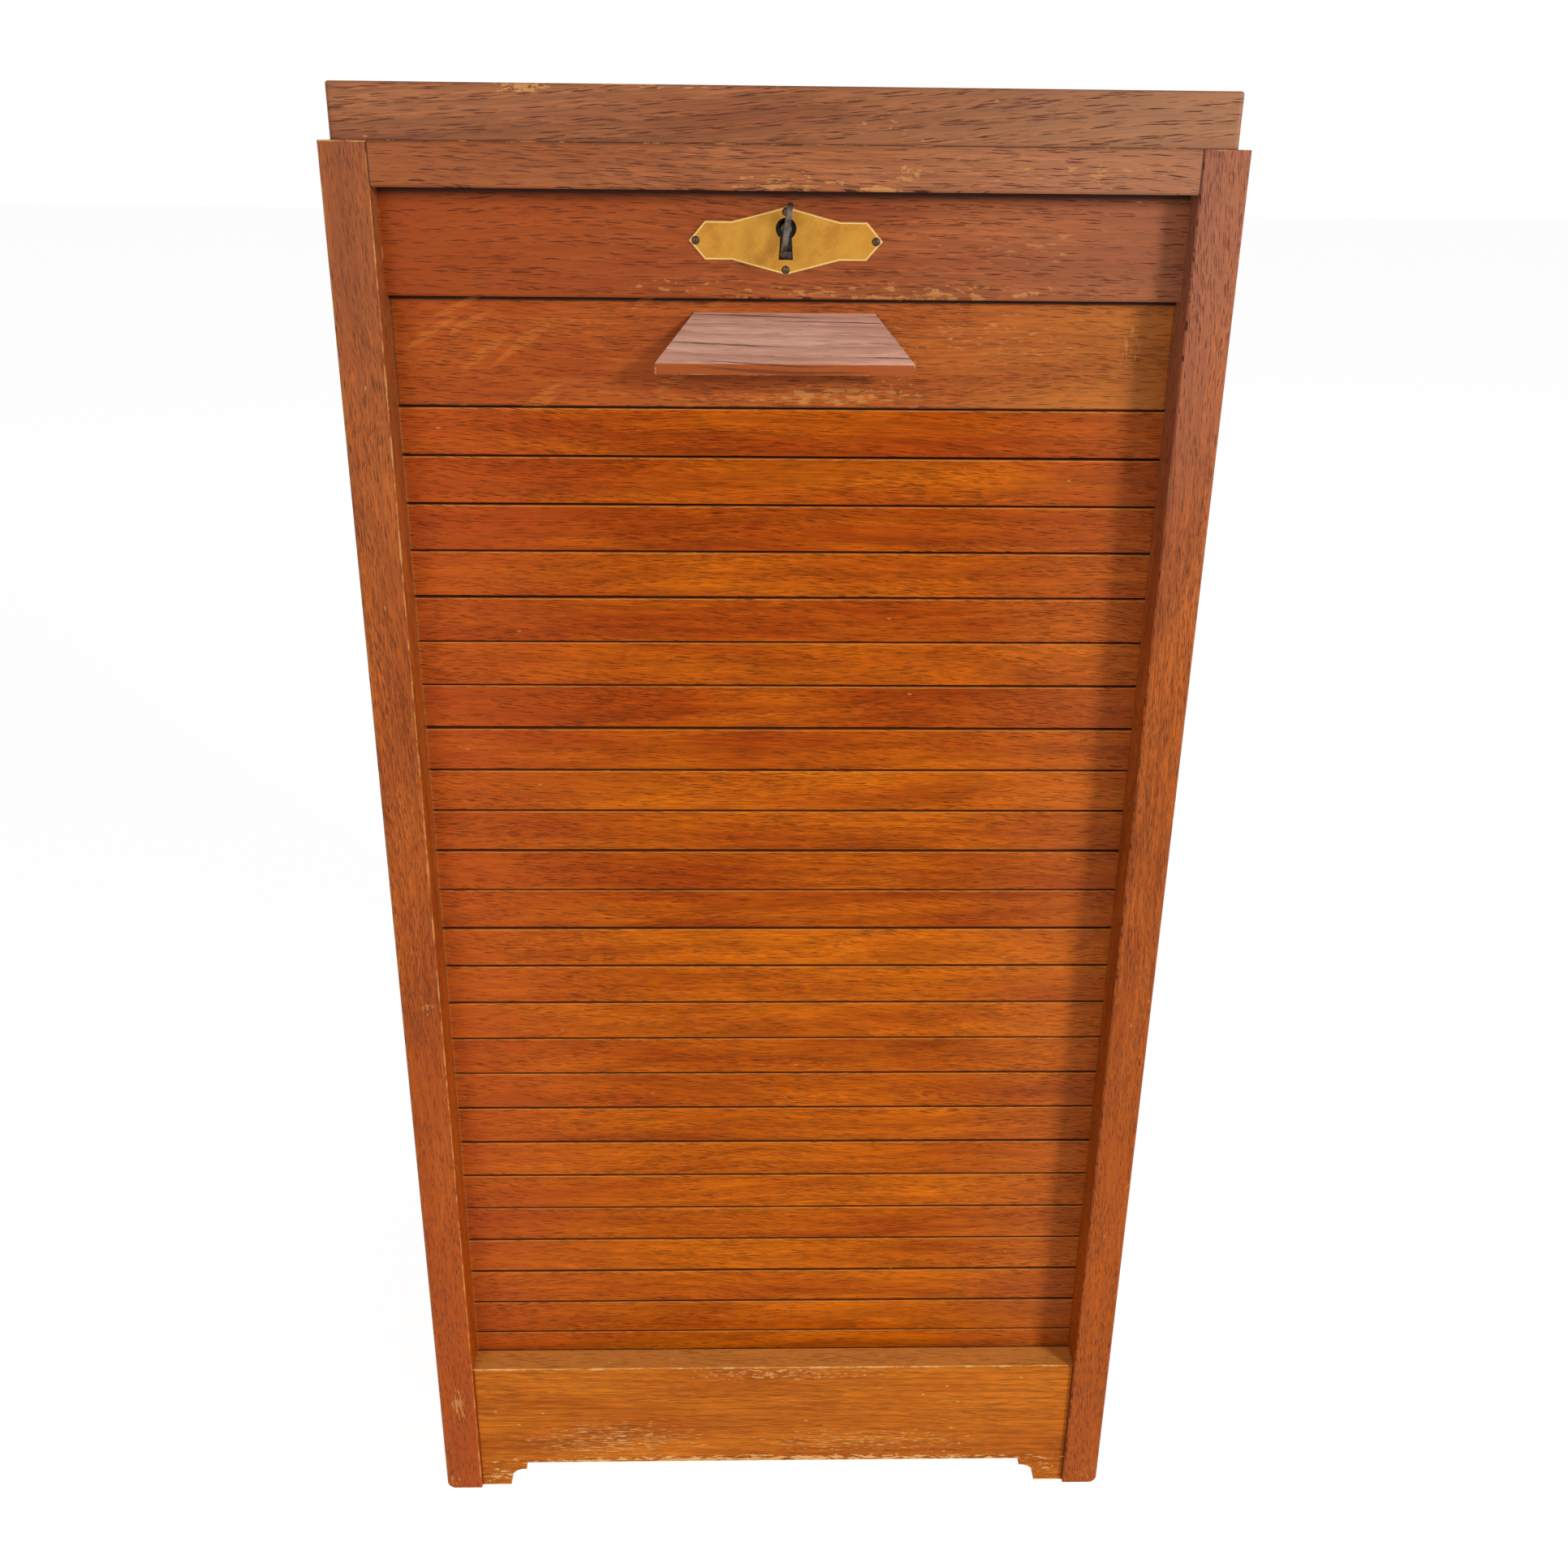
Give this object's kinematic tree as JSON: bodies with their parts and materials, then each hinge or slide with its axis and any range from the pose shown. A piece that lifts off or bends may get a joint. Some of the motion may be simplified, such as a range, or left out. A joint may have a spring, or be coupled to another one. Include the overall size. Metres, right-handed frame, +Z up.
{
  "type": "tambour filing cabinet",
  "caption": "Upright oak filing cabinet with a tambour curtain that slides down in grooves in the posts, a wooden pull, a locked panel with a brass plate, and shelves inside.",
  "frame": {"origin": "on the floor, under the middle of the outline, which takes in the key that stands out in front", "axes": "+Z up, -Y to the front with the curtain and the key, +X to the right as seen from the front"},
  "size_m": [0.5, 0.41, 0.987],
  "materials": {
    "frame_oak": "varnished",
    "curtain_oak": "varnished",
    "inside_oak": "matt",
    "brass_plate": "tarnished",
    "dark_pins": "dark",
    "lock_steel": "satin",
    "key_iron": "dark",
    "canvas": "matt"
  },
  "bodies": {
    "carcass": {"back_panel": "frame_oak", "bottom_board": "inside_oak", "escutcheon": "brass_plate", "escutcheon_pins": "dark_pins", "front_top_rail": "frame_oak", "inner_back": "inside_oak", "inner_floor": "inside_oak", "left_front_post": "frame_oak", "left_rear_post": "frame_oak", "left_shelf_battens": "inside_oak", "left_side_bottom_rail": "frame_oak", "left_side_panel": "frame_oak", "left_side_top_rail": "frame_oak", "left_track_board": "inside_oak", "lock_case": "lock_steel", "lock_panel": "frame_oak", "lock_plate": "lock_steel", "lock_screws": "lock_steel", "plinth": "frame_oak", "rear_bottom_rail": "frame_oak", "rear_top_rail": "frame_oak", "right_front_post": "frame_oak", "right_rear_post": "frame_oak", "right_shelf_battens": "inside_oak", "right_side_bottom_rail": "frame_oak", "right_side_panel": "frame_oak", "right_side_top_rail": "frame_oak", "right_track_board": "inside_oak", "shelf_1": "inside_oak", "shelf_2": "inside_oak", "shelf_3": "inside_oak", "shelf_4": "inside_oak", "shelf_5": "inside_oak", "shelf_6": "inside_oak", "shelf_7": "inside_oak", "shelf_8": "inside_oak", "shelf_9": "inside_oak", "top_board": "frame_oak", "top_tenons": "inside_oak"},
    "tambour": {"lead_board": "curtain_oak", "handle": "curtain_oak", "handle_screws": "lock_steel", "lock_staple": "lock_steel", "staple_screws": "lock_steel", "tambour_slats": "curtain_oak", "tambour_canvas": "canvas"},
    "key": {"key": "key_iron"},
    "bolt": {"lock_bolt": "lock_steel"}
  },
  "joints": [
    {"name": "tambour_slide", "type": "slide", "parent": "carcass", "child": "tambour", "axis": [0, 0, -1], "range_m": [0, 0.7225], "deforming": ["tambour_slats", "tambour_canvas"]},
    {"name": "key_turn", "type": "hinge", "parent": "carcass", "child": "key", "pos_m": [0, -0.1792, 0.915], "axis": [0, 1, 0], "range_deg": [0, 360]},
    {"name": "bolt_slide", "type": "slide", "parent": "carcass", "child": "bolt", "axis": [1, 0, 0], "range_m": [0, 0.01]}
  ],
  "couplings": [
    {"joint": "bolt_slide", "follows": "key_turn", "m_per_rad": 0.0015915}
  ]
}
